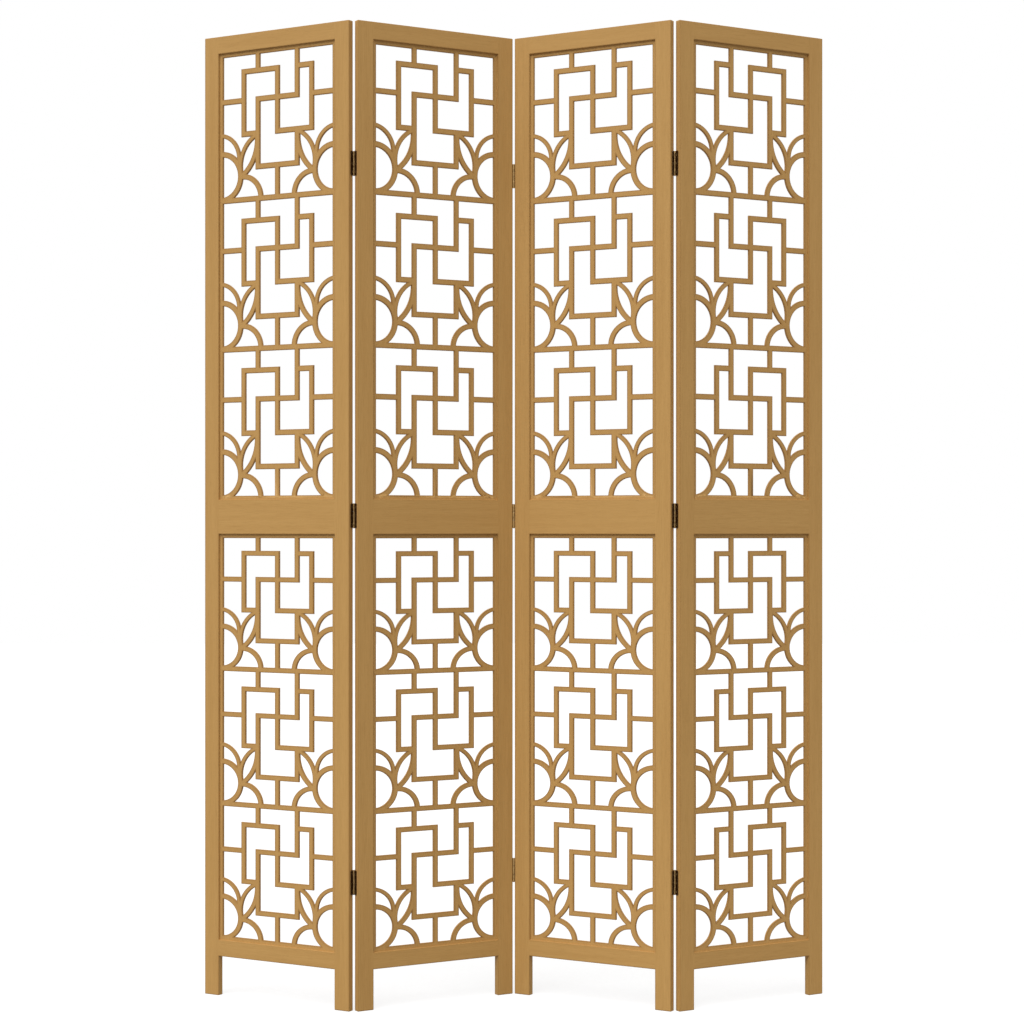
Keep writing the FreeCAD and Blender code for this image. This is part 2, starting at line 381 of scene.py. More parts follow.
def select(item, elements):
    """Select edges or faces of a mesh in edit mode."""
    for element in elements:
        element.select_set(True)
    bmesh.update_edit_mesh(item.data)


def done():
    """Leave edit mode."""
    bpy.ops.object.mode_set(mode="OBJECT")


def cut_line(place, normal, **settings):
    """Cut the whole mesh along a plane, in edit mode."""
    bpy.ops.mesh.select_all(action="SELECT")
    bpy.ops.mesh.bisect(plane_co=place, plane_no=normal, **settings)


def bevelled(item, wanted, width, segments):
    """Ease the edges for which a test holds."""
    mesh = edit(item)
    select(item, [edge for edge in mesh.edges if wanted(edge)])
    bpy.ops.mesh.bevel(
        offset=width, offset_type="OFFSET", segments=segments, affect="EDGES",
        clamp_overlap=False,
    )
    done()
    return item


def along(axis):
    """A test for a normal along an axis."""
    axis = Vector(axis)
    return lambda normal: abs(normal.dot(axis)) > 1 - axis_tolerance


def on_rim(axis):
    """A test for an edge between a face across an axis and one along it."""
    axis = Vector(axis)

    def test(edge):
        if len(edge.link_faces) != 2:
            return False
        leans = sorted(abs(face.normal.dot(axis)) for face in edge.link_faces)
        return leans[0] < axis_tolerance and leans[1] > 1 - axis_tolerance

    return test


def finished(item, smooth, **marks):
    """Shade a piece smooth up to an angle, and mark its faces' corners by place and normal."""
    pick(item)
    bpy.ops.object.shade_smooth_by_angle(angle=math.radians(smooth))
    mesh = item.data
    for name, value in marks.items():
        mark = mesh.attributes.new(name, "FLOAT", "CORNER")
        for face in mesh.polygons:
            for corner, vert in zip(face.loop_indices, face.vertices):
                mark.data[corner].value = value(mesh.vertices[vert].co, face.normal)
    return item


def eased_face(place, normal):
    """One for a face that lies along none of the three axes."""
    sides = (along(axis)(normal) for axis in ((1, 0, 0), (0, 1, 0), (0, 0, 1)))
    return 0.0 if any(sides) else 1.0


def rubbed_and_highlit_face(place, normal):
    """One for the eased faces of a hinge, where it is rubbed, and for the round of its knuckles
    and its pin, which is also paler as a painted highlight.
    """
    hinge = bpy.context.scene.divider_hinge
    on_barrel = place.xy.length < hinge.knuckle + hinge.gap
    return 1.0 if on_barrel else eased_face(place, normal)


def sawn_face(place, normal):
    """One for the sawn sides of a board that stands across the y axis."""
    return 1.0 if abs(normal.y) <= axis_tolerance else 0.0


# The places of the panels

def turned(turn, axis="Z"):
    """A turn about an axis through zero."""
    return Matrix.Rotation(turn, 4, axis)


def moved(x, y, z):
    """A move."""
    return Matrix.Translation((x, y, z))


def on_back(fold):
    """Whether the inner side of a fold, where its hinges sit, is the back."""
    return fold % 2 == 0


def pin_y(fold):
    """The pin of a fold in the frame of a panel beside it, along the panel's thickness."""
    sizes, hinge = bpy.context.scene.divider_panel, bpy.context.scene.divider_hinge
    return sizes.thickness + hinge.pin_offset if on_back(fold) else -hinge.pin_offset


def panel_places():
    """Each panel's matrix, worked out from the pins of the frame's joints."""
    sizes, hinge = bpy.context.scene.divider_panel, bpy.context.scene.divider_hinge
    past_edge = hinge.leaf + hinge.gap
    pins = [Vector(joint["pos_m"]) for joint in frame["joints"]]
    places = []
    for panel in range(panel_count):
        turn = turned(-sizes.fold_turn if panel % 2 == 0 else sizes.fold_turn)
        fold = max(panel - 1, 0)
        x = sizes.width + past_edge if panel == 0 else -past_edge
        corner = pins[fold] - turn.to_3x3() @ Vector((x, pin_y(fold), 0))
        places.append(moved(corner.x, corner.y, 0) @ turn)
    return places


# The frames of the panels

def rounded_edge(edge):
    """A test for the edges of a frame that are rounded: all but the corners of its openings."""
    return on_rim((0, 1, 0))(edge) or (edge.is_convex and on_rim((0, 0, 1))(edge))


def frame_lines(rail_heights):
    """The lines that divide a frame's face: its joints, and a band beside each of its edges,
    where the painted edge shade fades out.
    """
    sizes = bpy.context.scene.divider_panel
    left, right, shade_band_width = sizes.stile, sizes.width - sizes.stile, sizes.edge_shade_band
    across = (
        shade_band_width, left - shade_band_width, left, right, right + shade_band_width, sizes.width - shade_band_width,
    )
    up = [shade_band_width, sizes.height - shade_band_width]
    for low, high in rail_heights:
        up += (low, low + shade_band_width, high - shade_band_width, high)
    return across, [z for z in up if z < sizes.height - sizes.joint_gap]


def frame_face(rail_heights):
    """A panel's frame as a flat face halfway through it, divided by its lines."""
    sizes = bpy.context.scene.divider_panel
    left, right = sizes.stile, sizes.width - sizes.stile
    bpy.ops.mesh.primitive_plane_add(
        size=1, location=(sizes.width / 2, sizes.thickness / 2, sizes.height / 2),
        rotation=(math.pi / 2, 0, 0),
    )
    flat = bpy.context.object
    flat.scale = (sizes.width, sizes.height, 1)
    settle(flat)
    across, up = frame_lines(rail_heights)
    edit(flat)
    for x in across:
        cut_line((x, 0, 0), (1, 0, 0))
    for z in up:
        cut_line((0, 0, z), (0, 0, 1))
    bpy.ops.mesh.select_mode(type="FACE")
    bpy.ops.mesh.select_all(action="DESELECT")
    mesh = bmesh.from_edit_mesh(flat.data)
    centres = [(face, face.calc_center_median()) for face in mesh.faces]
    select(flat, [
        face for face, centre in centres
        if left < centre.x < right
        and not any(low < centre.z < high for low, high in rail_heights)
    ])
    bpy.ops.mesh.delete(type="FACE")
    done()
    return flat


def frame_blank(rail_heights):
    """A panel's whole frame in one piece, with its edges rounded and its grooves cut."""
    sizes = bpy.context.scene.divider_panel
    left, right = sizes.stile, sizes.width - sizes.stile
    blank = modified(
        frame_face(rail_heights), "SOLIDIFY", thickness=sizes.thickness, offset=0,
    )
    edit(blank)
    # lines on the sides where the painted edge shade ends
    for y in (sizes.edge_shade_band, sizes.thickness - sizes.edge_shade_band):
        cut_line((0, y, 0), (0, 1, 0))
    done()
    bevelled(blank, rounded_edge, sizes.arris, segments=4)
    middle, held = sizes.thickness / 2, sizes.board / 2 + sizes.groove_gap
    for below, above in zip(rail_heights, rail_heights[1:]):
        groove = block(
            (left - sizes.groove, middle - held, below[1] - sizes.groove),
            (right + sizes.groove, middle + held, above[0] + sizes.groove),
        )
        combined(blank, groove, "DIFFERENCE")
    return blank


def frame_edge_shade(rail_heights):
    """How strongly the painted edge shade shows at a place: one on the frame's edges, zero past
    the band.
    """
    sizes = bpy.context.scene.divider_panel
    left, right = sizes.stile, sizes.width - sizes.stile
    gaps = [(0, rail_heights[0][0])]
    gaps += [(below[1], above[0]) for below, above in zip(rail_heights, rail_heights[1:])]

    # the painted shade at a place: full at an edge, none past the band
    def stain(place, normal):
        x, y, z = place
        inward = min(x, sizes.width - x, z, sizes.height - z)
        for low, high in gaps:
            aside, above = max(left - x, x - right, 0), max(low - z, z - high, 0)
            inward = min(inward, math.hypot(aside, above))
        inward = max(inward, min(y, sizes.thickness - y), sizes.arris)
        return max(0.0, (sizes.edge_shade_band - inward) / (sizes.edge_shade_band - sizes.arris))

    return stain


def tenon(x_range, heights, gap=0.0):
    """A tenon, or with a gap the shape of its mortise."""
    sizes = bpy.context.scene.divider_panel
    half, middle = sizes.tenon_thickness / 2 + gap, sizes.thickness / 2
    return block(
        (x_range[0] - gap, middle - half, heights[0] + sizes.shoulder - gap),
        (x_range[1] + gap, middle + half, heights[1] - sizes.shoulder + gap),
    )


def stile(blank, rail_heights):
    """The left stile, with its foot and a mortise for each rail."""
    sizes = bpy.context.scene.divider_panel
    beyond = sizes.stile
    side = block((-beyond, -beyond, -beyond), (sizes.stile, beyond, sizes.height + beyond))
    piece = combined(copied(blank), side, "INTERSECT")
    for heights in rail_heights:
        mortise = tenon((sizes.stile - sizes.tenon, 2 * sizes.stile), heights, sizes.joint_gap)
        combined(piece, mortise, "DIFFERENCE")
    return finished(piece, smooth=25, rim=frame_edge_shade(rail_heights))


def rail(blank, heights, rail_heights):
    """A rail with a tenon at each end."""
    sizes = bpy.context.scene.divider_panel
    left, right, beyond = sizes.stile, sizes.width - sizes.stile, sizes.shoulder
    part = block((left, -beyond, heights[0] - beyond), (right, 2 * beyond, heights[1] + beyond))
    piece = combined(copied(blank), part, "INTERSECT")
    for x_range in ((left - sizes.tenon, left), (right, right + sizes.tenon)):
        combined(piece, tenon(x_range, heights), "UNION")
    return finished(piece, smooth=25, rim=frame_edge_shade(rail_heights))


class DIVIDER_OT_frames(bpy.types.Operator):
    """Model the stiles and rails of a panel and set copies of them in the four panels"""

    bl_idname = "divider.frames"
    bl_label = "Frames"

    def execute(self, context):
        sizes = context.scene.divider_panel
        boxes = [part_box(f"panel_1_{name}") for name in rails]
        rail_heights = [(low.z, high.z) for low, high in boxes]
        blank = frame_blank(rail_heights)
        round_about = moved(sizes.width, sizes.thickness, 0) @ turned(math.pi)
        side = stile(blank, rail_heights)
        members = {
            "left_stile": (side, Matrix.Identity(4)),
            "right_stile": (copied(side), round_about),
        }
        for name, heights in zip(rails, rail_heights):
            members[name] = (rail(blank, heights, rail_heights), Matrix.Identity(4))
        turn, edge_shade = sizes.fold_turn, context.scene.divider_finish.frame_shade
        upright = wood_material("stile_wood", edge_shade)
        level = [
            wood_material("rail_wood_odd", edge_shade, -turn, level=True),
            wood_material("rail_wood_even", edge_shade, turn, level=True),
        ]
        for panel, place in enumerate(panel_places()):
            body = f"panel_{panel + 1}"
            for name, (member, own_turn) in members.items():
                piece = copied(member, place @ own_turn, f"{body}_{name}_wood")
                piece.data.materials.clear()
                piece.data.materials.append(
                    upright if name.endswith("stile") else level[panel % 2]
                )
                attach(piece, body)
                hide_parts(f"{body}_{name}")
        for item in (blank, *(member for member, own_turn in members.values())):
            bpy.data.objects.remove(item)
        return {"FINISHED"}


# The fretwork

def band(shares, half_width, pitch):
    """A curved band, spun from its section."""
    sizes = bpy.context.scene.divider_panel
    centre_x, centre_z = shares[0] * half_width, shares[1] * pitch
    inner, outer = shares[2] * half_width, shares[3] * half_width
    start, stop = math.radians(shares[4]), math.radians(shares[5])
    middle = (inner + outer) / 2
    shade_band_width = sizes.eased + sizes.board_shade_band
    bpy.ops.mesh.primitive_plane_add(
        size=1,
        location=(centre_x + middle * math.cos(start), 0, centre_z + middle * math.sin(start)),
        rotation=(0, -start, 0),
    )
    section = bpy.context.object
    section.scale = (outer - inner, sizes.board, 1)
    settle(section)
    mesh = edit(section, "VERT")
    select(section, mesh.verts)
    bpy.ops.mesh.bevel(offset=sizes.eased, segments=eased_segments, affect="VERTICES")
    away = Vector((math.cos(start), 0, math.sin(start)))
    # lines along the band where the painted edge shade ends
    for radius in (inner + shade_band_width, outer - shade_band_width):
        cut_line(Vector((centre_x, 0, centre_z)) + away * radius, away)
    bpy.ops.mesh.select_all(action="SELECT")
    bpy.ops.mesh.spin(
        steps=max(1, round((stop - start) / sizes.curve_step)),
        angle=stop - start, center=(centre_x, 0, centre_z), axis=(0, 1, 0),
    )
    bpy.ops.mesh.select_all(action="SELECT")
    bpy.ops.mesh.normals_make_consistent(inside=False)
    done()
    return section


def inset(item, width):
    """Inset the front and the back of a flat piece, and stay in edit mode."""
    mesh = edit(item, "FACE")
    across = along((0, 1, 0))
    select(item, [face for face in mesh.faces if across(face.normal)])
    bpy.ops.mesh.inset(thickness=width)


def eased(item):
    """Ease the edges of a flat piece, with a line beside them where their painted edge shade
    ends.
    """
    sizes = bpy.context.scene.divider_panel
    bevelled(item, on_rim((0, 1, 0)), sizes.eased, eased_segments)
    inset(item, sizes.board_shade_band)
    done()
    return item


def fretwork_repeat(pitch):
    """One repeat of the drawing as a single solid."""
    sizes = bpy.context.scene.divider_panel
    half, thick, post = sizes.half_width, sizes.board / 2, sizes.post / 2
    bar = cross_bar_share * pitch / 2
    inner, outer = (post_shares[name] * half for name in ("inner", "outer"))
    low, feet, middle, top = (
        bar_shares[name] * pitch for name in ("low", "feet", "middle", "top")
    )
    posts = (
        (-inner, top, pitch), (inner, middle, pitch), (-inner, low, middle),
        (inner, low, feet), (-outer, feet, top), (0, feet, top), (outer, feet, top),
        (0, -bar, low),
    )
    bars = (
        (-outer, 0, top), (inner, outer, top), (-half, -outer, middle),
        (-inner, inner, middle), (outer, half, middle), (-outer, -inner, feet),
        (0, outer, feet), (-inner, inner, low), (-half, half, -bar),
    )
    strips = [
        block((x - post, -thick, start), (x + post, thick, stop)) for x, start, stop in posts
    ]
    strips += [
        block((start - post, -thick, z - bar), (stop + post, thick, z + bar))
        for start, stop, z in bars
    ]
    for strip in strips:
        eased(strip)
    curves = joined([band(shares, half, pitch) for shares in band_shares])
    modified(curves, "MIRROR", use_mirror_merge=False)
    drawing = joined([*strips[:-1], curves])
    combined(drawing, strips[-1], "UNION", use_self=True)
    edit(drawing, "VERT")
    bpy.ops.mesh.select_all(action="SELECT")
    bpy.ops.mesh.remove_doubles(threshold=same_place)
    done()
    return drawing


def border(z_range):
    """The plain strip round the drawing, with what the frame hides of it."""
    sizes = bpy.context.scene.divider_panel
    reach = sizes.half_width + sizes.border
    ring = block(
        (-reach, -sizes.board / 2, z_range[0] - sizes.border),
        (reach, sizes.board / 2, z_range[1] + sizes.border),
    )
    inset(ring, sizes.border)
    bpy.ops.mesh.bridge_edge_loops()
    bpy.ops.mesh.select_all(action="SELECT")
    bpy.ops.mesh.normals_make_consistent(inside=False)
    done()
    return eased(ring)


def board_edge_shade(board):
    """How strongly the painted edge shade shows at a place on a board's faces: one at their
    edges.
    """
    sizes = bpy.context.scene.divider_panel
    across = along((0, 1, 0))
    edges = BVHTree.FromPolygons(
        [vert.co for vert in board.data.vertices],
        [face.vertices for face in board.data.polygons if not across(face.normal)],
    )

    # the painted shade at a place on a board's faces: full at an edge, none past the band
    def stain(place, normal):
        if sawn_face(place, normal):
            return 0.0
        return max(0.0, 1 - edges.find_nearest(place)[3] / sizes.board_shade_band)

    return stain


def fretwork_board(repeat, repeat_pitch, height, pitch):
    """A whole board: three repeats, scaled to their window, and the border round them."""
    sizes = bpy.context.scene.divider_panel
    stretch = Matrix.Diagonal((1, 1, pitch / repeat_pitch, 1))
    rows = [copied(repeat, moved(0, 0, row * pitch) @ stretch) for row in range(repeats)]
    # the top repeat ends inside the border
    edit(rows[-1])
    cut_line((0, 0, height + sizes.border / 2), (0, 0, 1), use_fill=True, clear_outer=True)
    done()
    board = combined(joined(rows), border((0, height)), "UNION", use_self=True)
    return finished(board, smooth=15, rim=board_edge_shade(board), cut=sawn_face)


class DIVIDER_OT_fretwork(bpy.types.Operator):
    """Cut the eight fretwork boards and set them in the frames"""

    bl_idname = "divider.fretwork"
    bl_label = "Fretwork Boards"

    def execute(self, context):
        sizes = context.scene.divider_panel
        wood = wood_material("fretwork_wood", context.scene.divider_finish.board_shade)
        windows = {}
        for level in levels:
            low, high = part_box(f"panel_1_{level}_fretwork")
            windows[level] = (low.z + sizes.border, high.z - sizes.border)
        pitches = {
            level: (high - low) / (repeats - hidden_shares[level])
            for level, (low, high) in windows.items()
        }
        repeat = fretwork_repeat(pitches["upper"])
        for level, (low, high) in windows.items():
            board = fretwork_board(repeat, pitches["upper"], high - low, pitches[level])
            board.data.materials.append(wood)
            for panel, place in enumerate(panel_places()):
                # the last panel's boards are turned back to front, which mirrors their drawing
                turn = turned(math.pi if panel == panel_count - 1 else 0.0)
                seat = moved(sizes.width / 2, sizes.thickness / 2, low)
                body = f"panel_{panel + 1}"
                piece = copied(board, place @ seat @ turn, f"{body}_{level}_board")
                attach(piece, body)
                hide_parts(f"{body}_{level}_fretwork")
            bpy.data.objects.remove(board)
        bpy.data.objects.remove(repeat)
        return {"FINISHED"}


# The hinges, drawn round a pin on the z axis with the panel on the -x side and its edge face
# running towards -y

def knuckle(z_range):
    """A knuckle with its ends eased."""
    hinge = bpy.context.scene.divider_hinge
    barrel = cylinder(hinge.knuckle, z_range)
    return bevelled(barrel, on_rim((0, 0, 1)), hinge.knuckle_round, segments=3)


def screw_places():
    """Where a leaf's screws sit."""
    hinge = bpy.context.scene.divider_hinge
    inner = hinge.knuckle + hinge.knuckle_gap
    y = -(inner + hinge.leaf_width) / 2
    return [(-hinge.gap, y, row * hinge.screw_pitch) for row in (-1, 0, 1)]


def leaf(own_knuckles, other_knuckles):
    """A leaf with its knuckles, its screw holes and room for the other leaf's knuckles."""
    hinge = bpy.context.scene.divider_hinge
    half, room = hinge.length / 2, hinge.knuckle + hinge.knuckle_gap
    face = -(hinge.leaf + hinge.gap)
    outer_edge = -hinge.leaf_width
    plate = block((face, outer_edge, -half), (-hinge.gap, 0, half))

    def outer_corner(edge):
        first, last = (vert.co for vert in edge.verts)
        across = abs(first.x - last.x) > hinge.leaf / 2
        return across and max(first.y, last.y) < outer_edge + same_place

    bevelled(plate, outer_corner, hinge.corner, segments=6)
    for low, high in other_knuckles:
        notch = block(
            (-room, -room, low - hinge.knuckle_gap), (room, room, high + hinge.knuckle_gap),
        )
        combined(plate, notch, "DIFFERENCE")
    bevelled(plate, on_rim((1, 0, 0)), hinge.leaf_round, eased_segments)
    for z_range in own_knuckles:
        combined(plate, knuckle(z_range), "UNION")
    combined(plate, cylinder(hinge.bore, (-hinge.length, hinge.length)), "DIFFERENCE")
    radii = [hinge.screw_head * screw_shares[name] for name in ("neck", "sink")]
    past = hinge.leaf / 20    # how far the holes' cutters stand out at each end
    for place in screw_places():
        combined(plate, cone(radii, (-hinge.leaf - past, past), place), "DIFFERENCE")
    return finished(plate, smooth=20, rim=rubbed_and_highlit_face)


def screws():
    """The three countersunk screws of a leaf, their heads flush with it."""
    hinge = bpy.context.scene.divider_hinge
    neck, shank, point = (
        hinge.screw_head * screw_shares[name] for name in ("neck", "shank", "point")
    )
    top, head_depth = -hinge.leaf * screw_shares["sunk"], hinge.leaf * screw_shares["head"]
    screw = cone((neck, hinge.screw_head), (top - head_depth, top))

    def head_rim(edge):
        leans = sorted(abs(face.normal.x) for face in edge.link_faces)
        on_top = all(vert.co.x > top - same_place for vert in edge.verts)
        return on_top and leans[0] < 1 - axis_tolerance < leans[-1]

    bevelled(screw, head_rim, hinge.leaf_round, eased_segments)
    start = top - hinge.leaf / 2
    combined(screw, cone((point, shank), (start - hinge.screw_length, start)), "UNION")
    for y, z in ((hinge.slot_reach, hinge.slot_side), (hinge.slot_side, hinge.slot_reach)):
        slot = block((top - hinge.slot_depth, -y, -z), (hinge.leaf, y, z))
        combined(screw, slot, "DIFFERENCE")
    rows = [copied(screw, moved(*place)) for place in screw_places()]
    bpy.data.objects.remove(screw)
    return finished(joined(rows), smooth=20, rim=eased_face)


def hinge_pin():
    """The pin, with rounded ends."""
    hinge = bpy.context.scene.divider_hinge
    end = hinge.length / 2 + hinge.pin_end
    pin = cylinder(hinge.pin, (-end, end))
    bevelled(pin, on_rim((0, 0, 1)), hinge.pin_round, segments=4)
    return finished(pin, smooth=30, rim=rubbed_and_highlit_face)


class DIVIDER_OT_hinges(bpy.types.Operator):
    """Model one butt hinge with its screws and set copies of it in the three folds"""

    bl_idname = "divider.hinges"
    bl_label = "Butt Hinges"

    def execute(self, context):
        sizes, hinge = context.scene.divider_panel, context.scene.divider_hinge
        finish = context.scene.divider_finish
        half, middle = hinge.length / 2, hinge.middle_knuckle / 2
        inner_end = middle + hinge.knuckle_gap
        ends, centre = [(-half, -inner_end), (inner_end, half)], [(-middle, middle)]
        plated = bronze_material("hinge_bronze", finish.leaf_wear_and_highlight)
        worn_and_highlit = bronze_material("pin_bronze", finish.pin_wear_and_highlight)
        as_drawn, flipped = Matrix.Identity(4), turned(math.pi, "Y")
        parts = {
            "left_leaf": (leaf(ends, centre), as_drawn, plated),
            "left_screws": (screws(), as_drawn, worn_and_highlit),
            "pin": (hinge_pin(), as_drawn, worn_and_highlit),
            "right_leaf": (leaf(centre, ends), flipped, plated),
            "right_screws": (screws(), flipped, worn_and_highlit),
        }
        places = panel_places()
        past_edge = hinge.leaf + hinge.gap
        for name, (part, own_turn, metal) in parts.items():
            part.data.materials.append(metal)
            for fold in range(panel_count - 1):
                right = name.startswith("right")
                panel = fold + 1 if right else fold
                x = -past_edge if right else sizes.width + past_edge
                roll = turned(0.0 if on_back(fold) else math.pi, "X")
                for level in hinge_levels:
                    hinge_node = f"fold_{fold + 1}_{level}_hinge"
                    low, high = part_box(f"{hinge_node}_pin")
                    seat = moved(x, pin_y(fold), (low.z + high.z) / 2)
                    piece = copied(
                        part, places[panel] @ seat @ roll @ own_turn,
                        f"fold_{fold + 1}_{level}_{name}",
                    )
                    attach(piece, f"panel_{panel + 1}")
                    if "screws" not in name:
                        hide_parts(f"{hinge_node}_{name}")
            bpy.data.objects.remove(part)
        return {"FINISHED"}


# The materials

def fed(tree, made, inputs):
    """A node with its inputs set, each to a value or to the socket that feeds it."""
    for name, value in inputs.items():
        if isinstance(value, bpy.types.NodeSocket):
            tree.links.new(value, made.inputs[name])
        else:
            made.inputs[name].default_value = value
    return made


def node(tree, kind, inputs=None, **settings):
    """A new node with its settings and its inputs."""
    made = tree.nodes.new(kind)
    for name, value in settings.items():
        setattr(made, name, value)
    return fed(tree, made, inputs or {})


def maths(tree, operation, first, second):
    """One sum with two values."""
    return node(
        tree, "ShaderNodeMath", {0: first, 1: second}, operation=operation,
    ).outputs[0]


def ramped(tree, value, limits, results=(0.0, 1.0)):
    """A value stretched from its limits to the results, smoothly, and kept within them."""
    ends = {
        "From Min": limits[0], "From Max": limits[1], "To Min": results[0], "To Max": results[1],
    }
    return node(
        tree, "ShaderNodeMapRange", {"Value": value, **ends}, interpolation_type="SMOOTHSTEP",
    ).outputs[0]


def noise(tree, vector, scale, detail=2.0, roughness=0.5):
    """A soft noise."""
    return node(
        tree, "ShaderNodeTexNoise",
        {"Vector": vector, "Scale": scale, "Detail": detail, "Roughness": roughness},
    ).outputs["Fac"]


def mixed(tree, factor, first, second):
    """Two colours mixed."""
    return node(
        tree, "ShaderNodeMix", {0: factor, 6: first, 7: second}, data_type="RGBA",
    ).outputs[2]


def bumped(tree, height, strength, depth):
    """The normal of a surface with this relief."""
    return node(
        tree, "ShaderNodeBump", {"Height": height, "Strength": strength, "Distance": depth},
    ).outputs[0]


def group(name, inputs, outputs):
    """A new node group with its sockets, and its two end nodes."""
    tree = bpy.data.node_groups.new(name, "ShaderNodeTree")
    for socket, kind, default in inputs:
        made = tree.interface.new_socket(socket, in_out="INPUT", socket_type=kind)
        if default is not None:
            made.default_value = default
    for socket, kind in outputs:
        tree.interface.new_socket(socket, in_out="OUTPUT", socket_type=kind)
    return tree, tree.nodes.new("NodeGroupInput"), tree.nodes.new("NodeGroupOutput")


def grain_group():
    """Streaks, fibres and pores that run along z, built once for every wood."""
    name = "divider_grain"
    if name in bpy.data.node_groups:
        return bpy.data.node_groups[name]
    tree, start, end = group(
        name,
        [
            ("Place", "NodeSocketVector", None),
            ("Streak Width", "NodeSocketFloat", 0.012),
            ("Streak Length", "NodeSocketFloat", 0.35),
            ("Fibre Width", "NodeSocketFloat", 0.0011),
            ("Fibre Length", "NodeSocketFloat", 0.045),
        ],
        [
            ("Figure", "NodeSocketFloat"), ("Fibre", "NodeSocketFloat"),
            ("Pores", "NodeSocketFloat"), ("Height", "NodeSocketFloat"),
        ],
    )

    def stretched(width, reach):
        across = maths(tree, "DIVIDE", 1.0, width)
        scale = node(
            tree, "ShaderNodeCombineXYZ",
            {"X": across, "Y": across, "Z": maths(tree, "DIVIDE", 1.0, reach)},
        )
        return node(
            tree, "ShaderNodeVectorMath",
            {0: start.outputs["Place"], 1: scale.outputs[0]}, operation="MULTIPLY",
        ).outputs[0]

    streaks = stretched(start.outputs["Streak Width"], start.outputs["Streak Length"])
    fibres = stretched(start.outputs["Fibre Width"], start.outputs["Fibre Length"])
    figure = noise(tree, streaks, 1.0, detail=3.0, roughness=0.6)
    fibre = noise(tree, fibres, 1.0, roughness=0.6)
    pores = ramped(tree, noise(tree, fibres, 2.3, detail=1.0), pore_levels)
    height = maths(tree, "SUBTRACT", fibre, pores)
    fed(tree, end, {"Figure": figure, "Fibre": fibre, "Pores": pores, "Height": height})
    return tree


def worn_edge_and_highlight_group():
    """Where the eased edges of a piece are rubbed, and the knuckles and pin of a hinge are paler
    as a painted highlight, from its rim attribute.
    """
    name = "divider_worn_edge_and_highlight"
    if name in bpy.data.node_groups:
        return bpy.data.node_groups[name]
    tree, start, end = group(
        name,
        [
            ("Place", "NodeSocketVector", None), ("Amount", "NodeSocketFloat", 0.5),
            ("Patch Size", "NodeSocketFloat", 0.02),
        ],
        [("Worn", "NodeSocketFloat")],
    )
    rim = node(tree, "ShaderNodeAttribute", attribute_name="rim").outputs["Fac"]
    scale = maths(tree, "DIVIDE", 1.0, start.outputs["Patch Size"])
    patches = ramped(tree, noise(tree, start.outputs["Place"], scale), rubbed_and_highlit_levels)
    worn_and_highlit = maths(tree, "MULTIPLY", maths(tree, "MULTIPLY", rim, patches), start.outputs["Amount"])
    fed(tree, end, {"Worn": worn_and_highlit})
    return tree


def new_material(name):
    """An empty node material, with its shader and its object coordinates."""
    material = bpy.data.materials.new(name)
    material.use_nodes = True
    tree = material.node_tree
    shader = tree.nodes["Principled BSDF"]
    place = node(tree, "ShaderNodeTexCoord").outputs["Object"]
    return material, tree, shader, place


def opaque(tint):
    """A colour with its alpha."""
    return (*tint, 1.0)


def wood_material(name, edge_shade, turn=0.0, level=False):
    """Stained wood with its grain up the piece, or level along a panel with that turn, and
    painted shade darkening its edges.
    """
    finish = bpy.context.scene.divider_finish
    material, tree, shader, place = new_material(name)
    grain_place = node(
        tree, "ShaderNodeMapping",
        {"Vector": place, "Rotation": (0.0, math.pi / 2 if level else 0.0, turn)},
        vector_type="TEXTURE",
    ).outputs[0]
    grain = node(
        tree, "ShaderNodeGroup", {"Place": grain_place}, node_tree=grain_group(),
    ).outputs
    tone = ramped(tree, noise(tree, grain_place, 3.0, detail=1.0), middle_levels)
    figure = ramped(tree, grain["Figure"], figure_levels)
    fibre = ramped(tree, grain["Fibre"], fibre_levels)
    main = opaque(finish.wood)
    for mask, strength, tint in (
        (figure, finish.figure, finish.wood_light), (tone, finish.tone, finish.wood_light),
        (fibre, finish.fibre, finish.wood_dark), (grain["Pores"], finish.pores, finish.wood_dark),
    ):
        main = mixed(tree, maths(tree, "MULTIPLY", mask, strength), main, opaque(tint))
    # Painted edge shade, varied along the grain: darker along edges and round openings as their
    # shade, and on the sawn sides partly as darker cut wood and partly as shade.
    patches = ramped(tree, grain["Figure"], edge_shade_levels, edge_shade_strengths)
    for mark, strength in (("cut", finish.cut_shade), ("rim", edge_shade)):
        where = node(tree, "ShaderNodeAttribute", attribute_name=mark).outputs["Fac"]
        shade = maths(tree, "MULTIPLY", maths(tree, "MULTIPLY", where, strength), patches)
        main = mixed(tree, shade, main, opaque(finish.painted_edge_shade))
    roughness = [finish.wood_roughness + step for step in roughness_steps]
    fed(tree, shader, {
        "Base Color": main,
        "Roughness": ramped(tree, grain["Fibre"], middle_levels, roughness),
        "Specular IOR Level": 0.35,
        "Normal": bumped(tree, grain["Height"], strength=0.25, depth=finish.grain_depth),
    })
    return material


